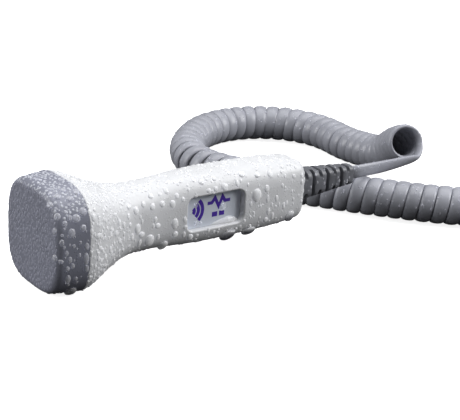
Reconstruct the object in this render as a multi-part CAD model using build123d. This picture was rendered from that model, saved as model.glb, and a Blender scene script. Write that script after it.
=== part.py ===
"""Hand-held ultrasound probe with a slotted strain relief, a curly cord and a round plug.

Millimetres. +X runs from the acoustic face to the tail, -Y is the label side, +Z is up.
The origin is under the middle of the probe, on the surface that the wide head rests on.
The probe's own pieces are drawn from the face, with their axis at height zero, and are
lifted onto the surface when they are saved. The cord's pieces are drawn where they lie.
"""
from build123d import *
from math import copysign, cos, pi, sin, tan, radians
import os

os.makedirs("parts", exist_ok=True)

# Driving dimensions of the probe
handle_length = 122.9       # face to the tail of the housing
relief_length = 31.5        # strain relief, from the tail on
cap_depth = 12.4            # face to the joint between cap and housing
face_width = 38.8
face_height = 41.0
head_width = 42.8
head_height = 42.0
waist_at = 43.0             # where the flare ends
waist_width = 22.6
waist_height = 26.0
grip_width = 21.9
grip_height = 28.9
tail_width_share = 0.93     # tail of the housing, as shares of the grip
tail_height_share = 0.872
tail_edge_share = 0.165     # rounding of the tail, as a share of the grip's width
housing_wall = 2.2
tail_wall = 3.0
overrun = 1.0               # how far every cut runs past what it cuts

# Shape of the sections: points round one section, and how square it is
section_points = 20
face_power = 3.0
head_power = 3.3
tail_power = 3.6

# Flare, head to waist: length share, width share, height share, power
flare_shares = (
    (0.05, 0.985, 0.975, 3.3),
    (0.15, 0.925, 0.87, 3.2),
    (0.31, 0.70, 0.60, 3.1),
    (0.51, 0.43, 0.29, 3.05),
    (0.74, 0.16, 0.07, 3.0),
)
# Grip, waist to tail: length share, width share, height share of the grip, power
grip_shares = (
    (0.12, 0.95, 0.93, 3.05),
    (0.29, 0.97, 0.99, 3.2),
    (0.48, 1.00, 1.00, 3.3),
    (0.67, 1.00, 0.98, 3.4),
    (0.86, 0.97, 0.94, 3.5),
)

# Front cap
cap_face_wall = 2.2
cap_edge_radius = 3.0
cap_side_wall = 2.6
spigot_length = 4.2
spigot_wall = 1.8
spigot_fit = 0.1
seal_width = 1.4
seal_depth = 0.9
seal_setback = 1.2          # joint face to the groove

# Recess for the label, on the -Y side
recess_length = 27.0
recess_height = 13.8
recess_at = 76.5            # face to the middle of the recess
recess_floor_out = 7.6      # axis to the floor of the recess
recess_corner = 3.2
recess_mouth_radius = 0.7
recess_back_wall = 1.6
label_thickness = 0.45
label_fit = 0.15

# Transducer stack behind the face
crystal_diameter = 25.0
crystal_thickness = 1.1
divider_thickness = 1.0
stack_fit = 0.1
backing_thickness = 4.6
cup_wall = 0.4
cup_gap = 0.3
carrier_wall = 1.3
carrier_lip = 1.6
carrier_lip_thickness = 0.9
boss_wall = 1.6
boss_height = 4.0

# Circuit board and what it carries
board_length = 52.0
board_height = 19.0
board_thickness = 1.6
board_from = 48.0           # face to the front edge
board_out = 1.5             # axis to the side that carries the components
rail_fit = 0.15
rail_wall = 1.4
rail_depth = 1.2
rail_lead_in = 2.0
coil_core_diameter = 6.4
coil_core_height = 4.8
coil_core_flange = 0.9
coil_core_waist = 4.4
coil_core_spacing = 8.6
coil_core_at = 9.0          # from the board's front edge
chip_length = 8.6
chip_width = 3.9
chip_height = 1.5
chip_leg_span = 6.0
chip_leg_width = 0.42
chip_leg_thickness = 0.25
chip_leg_pitch = 1.27
chip_leg_count = 7
chip_at = 24.0
can_length = 12.0
can_width = 11.0
can_height = 3.4
can_wall = 0.3
can_vent_diameter = 1.2
can_vent_pitch = 3.0
capacitor_length = 3.2
capacitor_width = 1.6
capacitor_height = 1.3
capacitor_pitch = 3.4
capacitor_count = 4
capacitor_at = 34.5
solder_gap = 0.05
header_length = 5.0
header_width = 10.4
header_height = 4.2
header_inset = 7.0          # header's tail side to the board's tail edge
socket_length = 6.4
socket_width = 9.8
socket_height = 3.8
socket_fit = 0.1
contact_pitch = 2.0
contact_size = 0.6
contact_reach = 3.2
contact_count = 4

# Wires inside
coax_diameter = 1.6
coax_spacing = 9.0
coax_slack = 3.0
core_diameter = 1.1
core_spread = 1.3

# Cord: a flat section, its strain relief and how the housing holds it
cord_width = 6.1
cord_thickness = 2.35
cord_fit = 0.05
relief_root_width = 12.2
relief_root_height = 13.2
relief_end_width = 6.6
relief_end_height = 8.2
relief_corner_share = 0.3   # corner radius as a share of the width
relief_edge = 0.5
joint_edge_radius = 0.4     # front edge of the housing, at the joint
slot_width = 1.95
slot_web = 3.6              # rubber left between two side slots
top_slot_count = 4
side_slot_count = 3
# Slots along the relief, as shares of its length
slot_first_share = 0.105
slot_pitch_share = 0.262
slot_top_share = 0.44       # how near the axis a top slot goes, as a share of the half height
core_wall = 0.55
neck_diameter = 11.0
neck_fit = 0.1
neck_bead = 1.6
clip_thickness = 1.4
clip_groove = 0.9
clip_fit = 0.3              # clip and washer to the housing's inner wall
seal_washer = 0.7
ferrule_wall = 1.0
ferrule_length = 4.6
cord_tail_inside = 2.2      # cord that stands out of the ferrule
core_gap = 0.1

# Curly cord, as the tube that its turns make
coil_diameter = 17.0
coil_bore = 12.3

# Round plug
boot_length = 18.0
boot_root_diameter = 9.6
boot_end_diameter = 7.4
boot_groove_width = 1.3
boot_groove_depth = 0.8
boot_groove_pitch = 3.4
boot_groove_count = 4
grip_plug_length = 24.0
grip_plug_diameter = 13.8
grip_plug_waist = 12.6
grip_plug_edge = 1.2
grip_flute_count = 12
grip_flute_radius = 0.7
shell_length = 8.0
shell_diameter = 9.4
shell_wall = 0.5
shell_root = 3.0            # length of the shell that sits in the grip
shell_neck = 0.4            # length of its thinner neck in front of the grip
shell_neck_diameter = 9.0
shell_key_width = 2.2
shell_key_depth = 0.8
insert_face = 3.0           # shell's rim to the face of the insert
insert_fit = 0.05
pin_diameter = 1.0
pin_length = 5.4
pin_circle = 5.6
pin_count = 5

probe_length = handle_length + relief_length
axis_height = head_height / 2
half_length = probe_length / 2
tail_width = tail_width_share * grip_width
tail_height = tail_height_share * grip_height
tail_edge_radius = tail_edge_share * grip_width

# Routes of the cord, where it lies
lead_route = (
    (77.2, 0.0, 21.0),
    (87.8, 0.0, 21.0),
    (99.3, 2.2, 19.9),
    (110.3, 5.4, 18.7),
    (120.8, 8.9, 17.4),
    (128.35, 14.22, 15.9),
    (130.29, 19.59, 14.05),
)
coil_route = (
    (131.1, 21.7, 21.0),
    (134.17, 30.2, 18.07),
    (134.5, 39.0, 9.6),
    (132.5, 52.0, 8.5),
    (130.8, 64.0, 8.5),
    (132.8, 77.0, 8.5),
    (131.3, 90.0, 8.5),
    (122.8, 103.5, 8.5),
    (110.3, 111.5, 8.5),
    (94.8, 114.0, 8.5),
    (78.8, 110.5, 8.5),
    (63.8, 100.0, 8.5),
    (51.8, 86.0, 8.5),
    (46.8, 69.0, 8.5),
    (51.8, 51.0, 8.5),
    (62.8, 34.0, 8.5),
    (75.8, 18.5, 8.5),
    (84.8, 6.0, 8.5),
    (94.8, -6.0, 8.5),
    (106.3, -19.0, 8.5),
    (119.3, -31.0, 8.5),
    (132.8, -41.0, 8.5),
    (148.8, -44.5, 8.5),
    (163.8, -39.0, 8.5),
)
tail_route = (
    (163.8, -39.0, 3.1),
    (172.2, -35.92, 3.1),
    (183.8, -29.0, 3.1),
    (194.3, -19.5, 3.1),
    (205.3, -8.5, 3.1),
    (217.8, -1.5, 4.4),
    (229.8, 2.0, 6.9),
    (238.8, 2.0, 6.9),
)
plug_at = Vector(*tail_route[-1])


def section(along, width, height, power):
    """Superellipse across the axis: width along Y, height along Z, squarer with power."""
    points = []
    for k in range(section_points):
        angle = 2 * pi * k / section_points
        across = copysign(abs(cos(angle)) ** (2 / power), cos(angle)) * width / 2
        upward = copysign(abs(sin(angle)) ** (2 / power), sin(angle)) * height / 2
        points.append((along, across, upward))
    return Face(Wire([Edge.make_spline(points, periodic=True)]))


def housing_stations():
    """Sizes of the housing from joint to tail: place, width, height, power."""
    flare_length = waist_at - cap_depth
    grip_length = handle_length - waist_at
    stations = [(cap_depth, head_width, head_height, head_power)]
    for place, wide, high, power in flare_shares:
        stations.append((
            cap_depth + place * flare_length,
            waist_width + wide * (head_width - waist_width),
            waist_height + high * (head_height - waist_height),
            power,
        ))
    stations.append((waist_at, waist_width, waist_height, face_power))
    for place, wide, high, power in grip_shares:
        stations.append((
            waist_at + place * grip_length, wide * grip_width, high * grip_height, power,
        ))
    stations.append((handle_length, tail_width, tail_height, tail_power))
    return stations


def size_at(place):
    """Width and height of the housing at a distance from the face, between its stations."""
    stations = housing_stations()
    for near, far in zip(stations, stations[1:]):
        if place <= far[0]:
            share = (place - near[0]) / (far[0] - near[0])
            return near[1] + share * (far[1] - near[1]), near[2] + share * (far[2] - near[2])
    return stations[-1][1], stations[-1][2]


def block(along, across, up):
    """Box between two places along, across and up, each given as low and high."""
    box = Box(along[1] - along[0], across[1] - across[0], up[1] - up[0])
    return Pos((along[0] + along[1]) / 2, (across[0] + across[1]) / 2, (up[0] + up[1]) / 2) * box


def rod(along, radius, across=0, up=0):
    """Cylinder along X between two places."""
    place = Pos((along[0] + along[1]) / 2, across, up) * Rot(0, 90, 0)
    return place * Cylinder(radius, along[1] - along[0])


def flat_rod(along, width, thickness):
    """Rod along X with the cord's flat, round-edged section, its broad side to the side."""
    outline = Plane(origin=(along[0], 0, 0), x_dir=(0, 0, 1), z_dir=(1, 0, 0)) * SlotOverall(
        width, thickness
    )
    return extrude(outline, along[1] - along[0])


def across_slot(along, up, width):
    """Slot tool through the width of the housing, round-ended, from low to high."""
    outline = Plane(origin=((along), 0, (up[0] + up[1]) / 2), x_dir=(0, 0, 1), z_dir=(0, 1, 0))
    return extrude(outline * SlotOverall(up[1] - up[0], width), relief_root_width, both=True)


def housing_outside():
    """Flared head, waist and swelling grip, with the edges of the tail and the joint rounded."""
    outside = loft([section(*station) for station in housing_stations()])
    outside = fillet(outside.faces().sort_by(Axis.X)[-1].edges(), tail_edge_radius)
    return fillet(outside.faces().sort_by(Axis.X)[0].edges(), joint_edge_radius)


def with_recess(outside):
    """The outside with the recess for the label cut in, its mouth rounded."""
    carved = outside - recess_tool(0, recess_floor_out, grip_width)
    mouth = [
        edge for edge in carved.edges()
        if abs(edge.center().X - recess_at) <= recess_length / 2 + overrun
        and edge.bounding_box().max.Y < -recess_floor_out - recess_mouth_radius
        and abs(edge.center().Z) <= recess_height / 2 + overrun
    ]
    return fillet(mouth, recess_mouth_radius)


def recess_tool(shrink, near, far):
    """Rounded rectangle across the label side, between two distances from the axis."""
    outline = Plane(origin=(recess_at, -near, 0), x_dir=(1, 0, 0), z_dir=(0, -1, 0))
    shape = RectangleRounded(
        recess_length - 2 * shrink, recess_height - 2 * shrink, recess_corner - shrink
    )
    return extrude(outline * shape, far - near)


def board_rails(outside):
    """Two grooved rails on the inner wall, closed at their tail end, that hold the board."""
    half_board = board_height / 2
    middle = board_out + board_thickness / 2
    half_groove = board_thickness / 2 + rail_fit
    rail_from = board_from + rail_lead_in
    rail_to = board_from + board_length + rail_fit
    rails = block(
        (rail_from, rail_to + rail_wall),
        (middle - half_groove - rail_wall, middle + half_groove + rail_wall),
        (half_board - rail_depth, grip_height),
    )
    groove = block(
        (rail_from - overrun, rail_to),
        (middle - half_groove, middle + half_groove),
        (0, half_board + rail_fit),
    )
    rails = rails - groove
    return (rails + mirror(rails, Plane.XY)) & outside


def housing():
    """One-piece shell: flared, hollow, open at the head, with recess, rails and cord hole."""
    outside = with_recess(housing_outside())
    stations = housing_stations()
    inner_end = handle_length - tail_wall
    inside_stations = [s for s in stations if s[0] < inner_end - tail_wall]
    inside_stations.append((inner_end, *size_at(inner_end), tail_power))
    inside = loft([
        section(place, wide - 2 * housing_wall, high - 2 * housing_wall, power)
        for place, wide, high, power in inside_stations
    ])
    pocket_back = recess_tool(
        -recess_back_wall, recess_floor_out - recess_back_wall, grip_width
    ) & outside
    shell = outside - inside + pocket_back + board_rails(outside)
    neck = rod((inner_end - overrun, handle_length + overrun), neck_diameter / 2 + neck_fit)
    return shell - neck


def spigot_half(place):
    """Outer width and height of the cap's spigot at a distance from the face."""
    wide, high = size_at(place)
    shrink = 2 * (housing_wall + spigot_fit)
    return wide - shrink, high - shrink


def front_cap():
    """Grey moulded cap: acoustic face, soft front edge, spigot with a seal groove, boss inside."""
    body = loft([
        section(0, face_width, face_height, face_power),
        section(cap_depth, head_width, head_height, head_power),
    ])
    body = fillet(body.faces().sort_by(Axis.X)[0].edges(), cap_edge_radius)
    spigot_end = cap_depth + spigot_length
    root, tip = spigot_half(cap_depth), spigot_half(spigot_end)
    spigot = loft([
        section(cap_depth, *root, head_power),
        section(spigot_end, *tip, head_power),
    ])
    hollow = loft([
        section(
            cap_face_wall,
            face_width - 2 * cap_side_wall, face_height - 2 * cap_side_wall, face_power,
        ),
        section(
            spigot_end,
            tip[0] - 2 * spigot_wall, tip[1] - 2 * spigot_wall, head_power,
        ),
    ])
    boss_radius = carrier_radius() + stack_fit + boss_wall
    boss_span = (cap_face_wall - overrun, cap_face_wall + boss_height)
    boss = rod(boss_span, boss_radius) - rod(
        (cap_face_wall, boss_span[1] + overrun), carrier_radius() + stack_fit
    )
    cap = body + spigot - hollow + boss
    return cap - seal_ring(overrun)


def seal_ring(proud):
    """Ring round the spigot, between the groove's floor and the given height above it."""
    start = cap_depth + seal_setback
    wide, high = spigot_half(start + seal_width)
    outer = section(
        start, wide + 2 * (spigot_fit + proud), high + 2 * (spigot_fit + proud), head_power
    )
    inner = section(start, wide - 2 * seal_depth, high - 2 * seal_depth, head_power)
    return extrude(outer, seal_width) - extrude(inner, seal_width)


def carrier_radius():
    """Outer radius of the ring that carries the transducer stack."""
    return crystal_diameter / 2 + cup_gap + cup_wall + stack_fit + carrier_wall


def half_disc(span, side):
    """Half of a disc behind the face, on one side of the divider."""
    disc = rod(span, crystal_diameter / 2)
    edge = divider_thickness / 2 + stack_fit
    reach = crystal_diameter
    if side > 0:
        return disc & block(span, (edge, reach), (-reach, reach))
    return disc & block(span, (-reach, -edge), (-reach, reach))


def transducer_stack():
    """Crystals, divider, backings, screening cup and carrier, in the order they are stacked."""
    crystal_span = (cap_face_wall, cap_face_wall + crystal_thickness)
    backing_span = (crystal_span[1], crystal_span[1] + backing_thickness)
    cup_radius = crystal_diameter / 2 + cup_gap + cup_wall
    cup_span = (cap_face_wall, backing_span[1] + cup_wall)
    cup = rod(cup_span, cup_radius) - rod((cup_span[0], backing_span[1]), cup_radius - cup_wall)
    divider = block(
        (cap_face_wall, backing_span[1]),
        (-divider_thickness / 2, divider_thickness / 2),
        (-crystal_diameter / 2, crystal_diameter / 2),
    )
    lip_span = (cup_span[1], cup_span[1] + carrier_lip_thickness)
    carrier = rod((cap_face_wall, lip_span[1]), carrier_radius())
    carrier = carrier - rod((cap_face_wall, lip_span[0]), cup_radius + stack_fit)
    carrier = carrier - rod((lip_span[0], lip_span[1] + overrun), cup_radius - carrier_lip)
    return {
        "transmit_crystal": half_disc(crystal_span, -1),
        "receive_crystal": half_disc(crystal_span, 1),
        "transmit_backing": half_disc(backing_span, -1),
        "receive_backing": half_disc(backing_span, 1),
        "crystal_divider": divider,
        "screening_cup": cup,
        "crystal_carrier": carrier,
    }


def stack_back():
    """Place of the back of the screening cup, where the inner leads start."""
    return cap_face_wall + crystal_thickness + backing_thickness + cup_wall


def board_face():
    """Y of the board's component side."""
    return board_out


def on_board(shape, along, up=0):
    """Put a component, drawn standing on Z, on the board's face, its top towards -Y."""
    return Pos(board_from + along, board_face() - solder_gap, up) * Rot(90, 0, 0) * shape


def tuning_coils():
    """Two wound drum cores, drawn as the drum with its winding's waist."""
    core = coil_core_diameter / 2
    drum = Pos(0, 0, coil_core_height / 2) * Cylinder(core, coil_core_height)
    waist_height_here = coil_core_height - 2 * coil_core_flange
    winding = Cylinder(core, waist_height_here) - Cylinder(coil_core_waist / 2, waist_height_here)
    drum = drum - Pos(0, 0, coil_core_height / 2) * winding
    offset = coil_core_spacing / 2
    return Compound([on_board(drum, coil_core_at, up) for up in (-offset, offset)])


def chip_body():
    """Moulded chip with gull-wing legs along both long sides."""
    stand = (chip_height - chip_leg_thickness) / 2
    body = Pos(0, 0, chip_leg_thickness + chip_height / 2) * Box(chip_length, chip_width, chip_height)
    reach = (chip_leg_span - chip_width) / 2
    first = -chip_leg_pitch * (chip_leg_count - 1) / 2
    for k in range(chip_leg_count):
        along = first + k * chip_leg_pitch
        for side in (-1, 1):
            foot = Pos(along, side * (chip_width + reach) / 2, chip_leg_thickness / 2) * Box(
                chip_leg_width, reach, chip_leg_thickness
            )
            riser = Pos(
                along, side * (chip_width + chip_leg_thickness) / 2, (stand + chip_leg_thickness) / 2
            ) * Box(chip_leg_width, chip_leg_thickness, stand + chip_leg_thickness)
            body = body + foot + riser
    return body


def screening_can():
    """Folded can over the chip, open towards the board, with a row of vents."""
    can = Pos(0, 0, can_height / 2) * Box(can_length, can_width, can_height)
    inner_height = can_height - can_wall
    can = can - Pos(0, 0, inner_height / 2) * Box(
        can_length - 2 * can_wall, can_width - 2 * can_wall, inner_height
    )
    for k in (-1, 0, 1):
        can = can - Pos(k * can_vent_pitch, 0, can_height) * Cylinder(
            can_vent_diameter / 2, can_height / 2
        )
    return can


def capacitors():
    """Row of chip capacitors across the board."""
    first = -capacitor_pitch * (capacitor_count - 1) / 2
    one = Pos(0, 0, capacitor_height / 2) * Box(capacitor_width, capacitor_length, capacitor_height)
    return Compound([
        on_board(one, capacitor_at, first + k * capacitor_pitch) for k in range(capacitor_count)
    ])


def contact_places():
    """Z of the contacts between header and socket."""
    first = -contact_pitch * (contact_count - 1) / 2
    return [first + k * contact_pitch for k in range(contact_count)]


def header_and_socket():
    """Pin header on the board, and the socket on the cord's cores that plugs into it."""
    tail_side = board_from + board_length - header_inset
    face = board_face() - solder_gap
    middle = face - header_height / 2
    header = block(
        (tail_side - header_length, tail_side),
        (face - header_height, face),
        (-header_width / 2, header_width / 2),
    )
    socket_from = tail_side + socket_fit
    socket = block(
        (socket_from, socket_from + socket_length),
        (middle - socket_height / 2, middle + socket_height / 2),
        (-socket_width / 2, socket_width / 2),
    )
    half = contact_size / 2
    for up in contact_places():
        span = (tail_side - half, tail_side + contact_reach)
        header = header + block(span, (middle - half, middle + half), (up - half, up + half))
        bore = half + cord_fit
        bore_span = (tail_side, tail_side + contact_reach + socket_fit)
        socket = socket - block(
            bore_span, (middle - bore, middle + bore), (up - bore, up + bore)
        )
    return header, socket, middle, socket_from + socket_length


def wire(points, diameter, radii):
    """Round wire along straight runs joined by arcs."""
    path = FilletPolyline(*points, radius=radii)
    start = Plane(origin=path @ 0, z_dir=path % 0)
    return sweep(start * Circle(diameter / 2), path=path)


def inner_coaxes():
    """One screened lead from the back of each crystal's side to the board's front edge."""
    start = stack_back()
    end = board_from + rail_lead_in
    level = board_face() - solder_gap - coax_diameter / 2
    half = coax_spacing / 2
    reach = end - start
    leads = {}
    for name, side in (("transmit_coax", -1), ("receive_coax", 1)):
        points = [
            (start, side * half, side * half),
            (start + reach / 3, side * half, side * half),
            (start + reach * 2 / 3, level, side * (half + coax_slack) / 2),
            (end, level, side * (half + coax_slack) / 2),
        ]
        leads[name] = wire(points, coax_diameter, arc_radii(points))
    return leads


def arc_radii(points):
    """Radius at each corner of a route: 0.45 of its shorter run over tan of half the turn."""
    corners = [Vector(*p) for p in points]
    radii = []
    for before, here, after in zip(corners, corners[1:], corners[2:]):
        shorter = min((here - before).length, (after - here).length)
        turn = radians((here - before).get_angle(after - here))
        radii.append(0.45 * shorter / tan(turn / 2))
    return radii


def relief_size(place):
    """Width and height of the strain relief at a distance from the tail."""
    share = place / relief_length
    wide = relief_root_width + share * (relief_end_width - relief_root_width)
    high = relief_root_height + share * (relief_end_height - relief_root_height)
    return wide, high


def relief_section(place, wide, high):
    """Rounded rectangle across the strain relief."""
    across = Plane(origin=(place, 0, 0), x_dir=(0, 1, 0), z_dir=(1, 0, 0))
    return across * RectangleRounded(wide, high, relief_corner_share * wide)


def strain_relief():
    """Tapered rubber sleeve with slots cut turn about from top and bottom and from the sides."""
    body = loft([
        relief_section(handle_length, relief_root_width, relief_root_height),
        relief_section(probe_length, relief_end_width, relief_end_height),
    ])
    body = fillet(body.faces().sort_by(Axis.X)[-1].edges(), relief_edge)
    core = flat_rod(
        (handle_length, probe_length), cord_width + 2 * core_wall, cord_thickness + 2 * core_wall
    )
    slots = []
    for k in range(top_slot_count):
        place = (slot_first_share + k * slot_pitch_share) * relief_length
        reach = slot_top_share * relief_size(place)[1] / 2
        for side in (-1, 1):
            span = sorted((side * reach, side * (relief_root_height)))
            slots.append(across_slot(handle_length + place, span, slot_width))
    for k in range(side_slot_count):
        place = handle_length + (slot_first_share + (k + 0.5) * slot_pitch_share) * relief_length
        span = (place - slot_width / 2, place + slot_width / 2)
        for side in (-1, 1):
            deep = sorted((side * slot_web / 2, side * relief_root_width))
            slots.append(block(span, deep, (-relief_root_height, relief_root_height)))
    body = body - (Compound(slots) - core)
    wall_inside = handle_length - tail_wall
    clip_from = wall_inside - seal_washer - clip_thickness
    neck = rod((clip_from - neck_bead, handle_length), neck_diameter / 2)
    groove = rod((clip_from, clip_from + clip_thickness), neck_diameter / 2 + overrun) - rod(
        (clip_from, clip_from + clip_thickness), neck_diameter / 2 - clip_groove
    )
    body = body + neck - groove
    passage = flat_rod(
        (clip_from - neck_bead - overrun, probe_length + overrun),
        cord_width + 2 * cord_fit, cord_thickness + 2 * cord_fit,
    )
    return body - passage


def cord_retention():
    """Clip and seal inside the tail, and the ferrule that stops the cord pulling out."""
    wall_inside = handle_length - tail_wall
    clip_from = wall_inside - seal_washer - clip_thickness
    clip_span = (clip_from, clip_from + clip_thickness)
    inner = neck_diameter / 2 - clip_groove + cord_fit
    outer = size_at(wall_inside)[0] / 2 - housing_wall - clip_fit
    clip = rod(clip_span, outer) - rod(clip_span, inner)
    clip = clip - block(clip_span, (-inner, inner), (-2 * outer, 0))
    washer_span = (clip_span[1], wall_inside)
    washer = rod(washer_span, outer) - rod(washer_span, neck_diameter / 2 + neck_fit)
    ferrule_end = clip_from - neck_bead
    ferrule_span = (ferrule_end - ferrule_length, ferrule_end)
    ferrule = flat_rod(ferrule_span, cord_width + 2 * ferrule_wall, cord_thickness + 2 * ferrule_wall)
    ferrule = ferrule - flat_rod(
        ferrule_span, cord_width + 2 * cord_fit, cord_thickness + 2 * cord_fit
    )
    cord_start = ferrule_span[0] - cord_tail_inside
    inner_cord = flat_rod((cord_start, probe_length), cord_width, cord_thickness)
    return {
        "retaining_clip": clip,
        "gland_seal": washer,
        "cord_ferrule": ferrule,
        "inner_cord": inner_cord,
    }, cord_start


def cord_cores(from_place, to_place, level):
    """Insulated cores from the end of the cord to the back of the socket."""
    cores = []
    middle = (from_place + to_place) / 2
    first = -core_spread * (contact_count - 1) / 2
    for k, up in enumerate(contact_places()):
        start = first + k * core_spread
        step = (from_place - to_place) / 4
        points = [
            (from_place - core_gap, 0, start),
            (middle + step, 0, start),
            (middle - step, level, up),
            (to_place + core_gap, level, up),
        ]
        cores.append(wire(points, core_diameter, arc_radii(points)))
    return Compound(cores)


def cord_tube(route, diameter, bore=0):
    """Tube along the cord's route, straight runs joined by tangent arcs."""
    radii = arc_radii(route)
    path = FilletPolyline(*route, radius=radii)
    start = Plane(origin=path @ 0, z_dir=path % 0)
    tube = sweep(start * Circle(diameter / 2), path=path)
    if bore:
        tube = tube - sweep(start * Circle(bore / 2), path=path)
    area = pi * (diameter ** 2 - bore ** 2) / 4
    print("arc radii", [round(r, 1) for r in radii])
    print("length", round(path.length, 1), "volume over section times length",
          round(tube.volume / (area * path.length), 4))
    return tube


def plug():
    """Round moulded plug: boot, fluted grip, metal shell, insert and pins, along +X."""
    boot_end = boot_length
    grip_end = boot_end + grip_plug_length
    boot = revolve(Plane.XZ * make_face(Polyline(
        (0, 0), (0, boot_end_diameter / 2), (boot_end, boot_root_diameter / 2), (boot_end, 0),
        close=True,
    )), Axis.X)
    boot = fillet(boot.faces().sort_by(Axis.X)[0].edges(), boot_groove_depth)
    for k in range(boot_groove_count):
        start = boot_groove_pitch * (k + 0.5) + boot_groove_width
        share = start / boot_length
        outer = (boot_end_diameter + share * (boot_root_diameter - boot_end_diameter)) / 2
        span = (start, start + boot_groove_width)
        boot = boot - (rod(span, outer + overrun) - rod(span, outer - boot_groove_depth))
    outline = Plane.XZ * make_face([
        Line((boot_end, 0), (boot_end, grip_plug_diameter / 2)),
        ThreePointArc(
            (boot_end, grip_plug_diameter / 2),
            ((boot_end + grip_end) / 2, grip_plug_waist / 2),
            (grip_end, grip_plug_diameter / 2),
        ),
        Line((grip_end, grip_plug_diameter / 2), (grip_end, 0)),
        Line((grip_end, 0), (boot_end, 0)),
    ])
    grip = revolve(outline, Axis.X)
    grip = fillet(grip.faces().filter_by(GeomType.PLANE).edges(), grip_plug_edge)
    flute_reach = grip_plug_length / 4
    for k in range(grip_flute_count):
        turned = Rot(k * 360 / grip_flute_count + 180 / grip_flute_count, 0, 0)
        grip = grip - turned * rod(
            (boot_end + flute_reach, grip_end - flute_reach), grip_flute_radius,
            up=grip_plug_waist / 2 + grip_flute_radius / 3,
        )
    shell_span = (grip_end - shell_root, grip_end + shell_length)
    neck_end = grip_end + shell_neck
    grip = grip - rod((shell_span[0], grip_end + overrun), shell_neck_diameter / 2)
    shell = rod((neck_end, shell_span[1]), shell_diameter / 2)
    shell = shell + rod((shell_span[0], neck_end), shell_neck_diameter / 2)
    shell = shell - rod(shell_span, shell_diameter / 2 - shell_wall)
    insert_radius = shell_diameter / 2 - shell_wall - insert_fit
    insert_span = (shell_span[0], shell_span[1] - insert_face)
    insert = rod(insert_span, insert_radius)
    key = block(
        (grip_end, shell_span[1]),
        (-shell_key_width / 2, shell_key_width / 2),
        (insert_radius - shell_key_depth, shell_diameter),
    )
    insert = insert - key
    pins = []
    pin_span = (insert_span[1] - pin_length / 2, insert_span[1] + pin_length / 2)
    for k in range(pin_count):
        angle = radians(k * 360 / pin_count - 90)
        spot = (pin_circle / 2 * cos(angle), pin_circle / 2 * sin(angle))
        pins.append(rod(pin_span, pin_diameter / 2, *spot))
        insert = insert - rod(
            (pin_span[0], insert_span[1] + overrun), pin_diameter / 2 + insert_fit, *spot
        )
    return {
        "plug_boot": boot, "plug_grip": grip, "plug_shell": shell,
        "plug_insert": insert, "plug_pins": Compound(pins),
    }


def save(name, shape, place):
    """Write one piece to its own file, where it belongs."""
    export_step(place * shape, f"parts/{name}.step")


def main():
    """Build every piece and save it."""
    on_surface = Pos(-half_length, 0, axis_height)
    header, socket, socket_level, socket_back = header_and_socket()
    retention, cord_start = cord_retention()
    probe = {
        "front_cap": front_cap(),
        "housing": housing(),
        "cap_seal": seal_ring(0),
        "label_inlay": recess_tool(label_fit, recess_floor_out, recess_floor_out + label_thickness),
        "circuit_board": block(
            (board_from, board_from + board_length),
            (board_out, board_out + board_thickness),
            (-board_height / 2, board_height / 2),
        ),
        "tuning_coils": tuning_coils(),
        "amplifier_chip": on_board(chip_body(), chip_at),
        "screening_can": on_board(screening_can(), chip_at),
        "board_capacitors": capacitors(),
        "cord_header": header,
        "cord_socket": socket,
        "cord_cores": cord_cores(cord_start, socket_back, socket_level),
        "strain_relief": strain_relief(),
        **transducer_stack(),
        **inner_coaxes(),
        **retention,
    }
    for name, shape in probe.items():
        save(name, shape, on_surface)
    save("lead_cord", cord_tube(lead_route, cord_width), Pos(0, 0, 0))
    save("curly_cord", cord_tube(coil_route, coil_diameter, coil_bore), Pos(0, 0, 0))
    save("tail_cord", cord_tube(tail_route, cord_width), Pos(0, 0, 0))
    for name, shape in plug().items():
        save(name, shape, Pos(plug_at.X, plug_at.Y, plug_at.Z))


main()
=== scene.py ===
"""Looks of a hand-held ultrasound probe with a curly cord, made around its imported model.

Metres, in the model's own frame: +X from the acoustic face to the tail, -Y the label side,
+Z up, with the surface that the probe lies on at height zero.
"""

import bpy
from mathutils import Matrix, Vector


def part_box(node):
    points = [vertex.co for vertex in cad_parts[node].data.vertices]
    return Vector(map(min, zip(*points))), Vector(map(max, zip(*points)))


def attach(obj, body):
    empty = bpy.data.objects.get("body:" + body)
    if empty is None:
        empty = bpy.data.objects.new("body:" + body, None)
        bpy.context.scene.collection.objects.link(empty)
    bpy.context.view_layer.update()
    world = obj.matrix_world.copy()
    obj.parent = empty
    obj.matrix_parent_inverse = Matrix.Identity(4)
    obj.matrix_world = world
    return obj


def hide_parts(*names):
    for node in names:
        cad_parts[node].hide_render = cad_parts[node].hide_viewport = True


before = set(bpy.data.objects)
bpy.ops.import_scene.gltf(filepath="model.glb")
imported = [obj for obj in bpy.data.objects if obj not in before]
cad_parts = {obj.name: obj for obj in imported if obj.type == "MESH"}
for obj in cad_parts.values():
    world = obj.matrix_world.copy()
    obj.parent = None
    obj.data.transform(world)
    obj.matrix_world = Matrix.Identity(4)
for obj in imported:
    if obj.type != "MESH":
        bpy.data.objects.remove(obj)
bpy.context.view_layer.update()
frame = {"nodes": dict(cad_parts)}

from math import radians

import bmesh
import bpy
import numpy as np
from bpy.props import FloatProperty, FloatVectorProperty, IntProperty, PointerProperty
from mathutils import Matrix, Vector
from mathutils.bvhtree import BVHTree

bl_info = {
    "name": "Ultrasound Probe Looks",
    "version": (1, 0, 0),
    "blender": (4, 5, 0),
    "location": "3D View > Sidebar > Probe",
    "description": "Curly cord, wet surfaces, print, finishes and studio for an ultrasound probe",
    "category": "Object",
}

MM = 0.001
AXIS_HEIGHT = 21.0  # of the probe's long axis over the surface it lies on, in millimetres

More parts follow.
